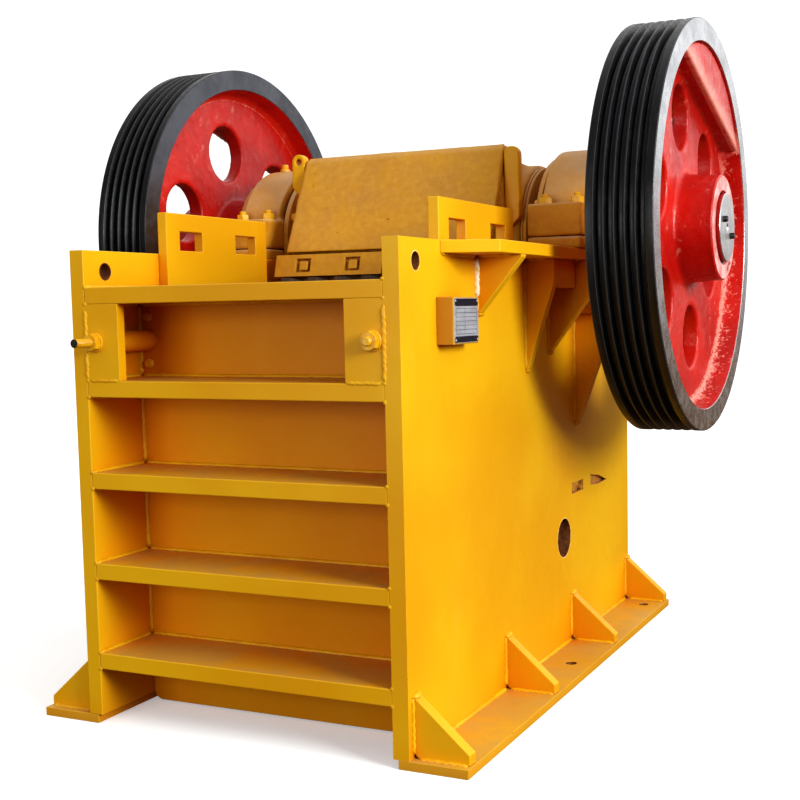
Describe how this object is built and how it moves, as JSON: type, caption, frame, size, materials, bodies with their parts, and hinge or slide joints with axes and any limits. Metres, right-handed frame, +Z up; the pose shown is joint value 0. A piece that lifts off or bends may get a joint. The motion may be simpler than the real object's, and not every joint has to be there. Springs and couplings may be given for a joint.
{
  "type": "jaw crusher",
  "caption": "Jaw crusher with a welded plate frame, ribbed front wall, swing jaw on an eccentric shaft and a grooved flywheel on each side.",
  "frame": {"origin": "on the floor, in the middle of the four foundation bolt holes", "axes": "+X along the shaft towards the side with the name plate, the ribbed front wall faces -Y, +Z up"},
  "size_m": [1.71, 1.682, 1.689],
  "materials": {
    "yellow_paint": "glossy yellow machine enamel on rolled plate",
    "cast_yellow_paint": "yellow paint over rough sand-cast steel",
    "red_paint": "glossy red enamel on cast iron, grooved tread black, rim edges bare",
    "bright_steel": "turned bright steel, lightly oiled",
    "dark_steel": "blackened steel",
    "jaw_steel": "bare manganese steel casting, worn on the teeth",
    "plate_aluminium": "thin pressed plate, satin"
  },
  "bodies": {
    "frame": {"side_plate_right": "yellow_paint", "side_plate_left": "yellow_paint", "foot_plates": "yellow_paint", "foot_gussets": "yellow_paint", "front_wall": "yellow_paint", "front_ribs": "yellow_paint", "front_end_plates": "yellow_paint", "bolt_sleeves": "yellow_paint", "bay_bolts": "yellow_paint", "wall_bolt_heads": "yellow_paint", "cheek_plates": "yellow_paint", "fixed_jaw_plate": "jaw_steel", "bearing_shelves": "yellow_paint", "shelf_gussets": "yellow_paint", "shelf_aprons": "yellow_paint", "bearing_seats": "cast_yellow_paint", "bearing_caps": "cast_yellow_paint", "bearing_cap_bolts": "yellow_paint", "bearing_cap_bosses": "cast_yellow_paint", "bearing_covers": "cast_yellow_paint", "main_bearings": "bright_steel", "rear_wall": "yellow_paint", "rear_ribs": "yellow_paint", "toggle_beam": "yellow_paint", "toggle_block": "cast_yellow_paint", "toggle_plate": "cast_yellow_paint", "name_plate_bracket": "yellow_paint", "name_plate": "plate_aluminium"},
    "rotor": {"eccentric_shaft": "bright_steel", "flywheel_rim_right": "red_paint", "flywheel_rim_left": "red_paint", "flywheel_disc_right": "red_paint", "flywheel_disc_left": "red_paint", "shaft_end_studs": "dark_steel"},
    "swing_jaw": {"swing_jaw": "cast_yellow_paint", "jaw_back_ribs": "cast_yellow_paint", "jaw_lifting_lugs": "cast_yellow_paint", "jaw_guard": "cast_yellow_paint", "jaw_clamp_bars": "cast_yellow_paint", "jaw_clamp_bolts": "cast_yellow_paint", "moving_jaw_plate": "jaw_steel", "jaw_seal_rings": "cast_yellow_paint"}
  },
  "joints": [
    {"name": "shaft_turns", "type": "hinge", "parent": "frame", "child": "rotor", "pos_m": [0, -0.063, 1.152], "axis": [1, 0, 0], "continuous": true},
    {"name": "jaw_on_throw", "type": "hinge", "parent": "rotor", "child": "swing_jaw", "pos_m": [0, -0.06592, 1.14244], "axis": [1, 0, 0], "continuous": true}
  ],
  "couplings": [
    {"joint": "jaw_on_throw", "follows": "shaft_turns", "ratio": -1}
  ]
}
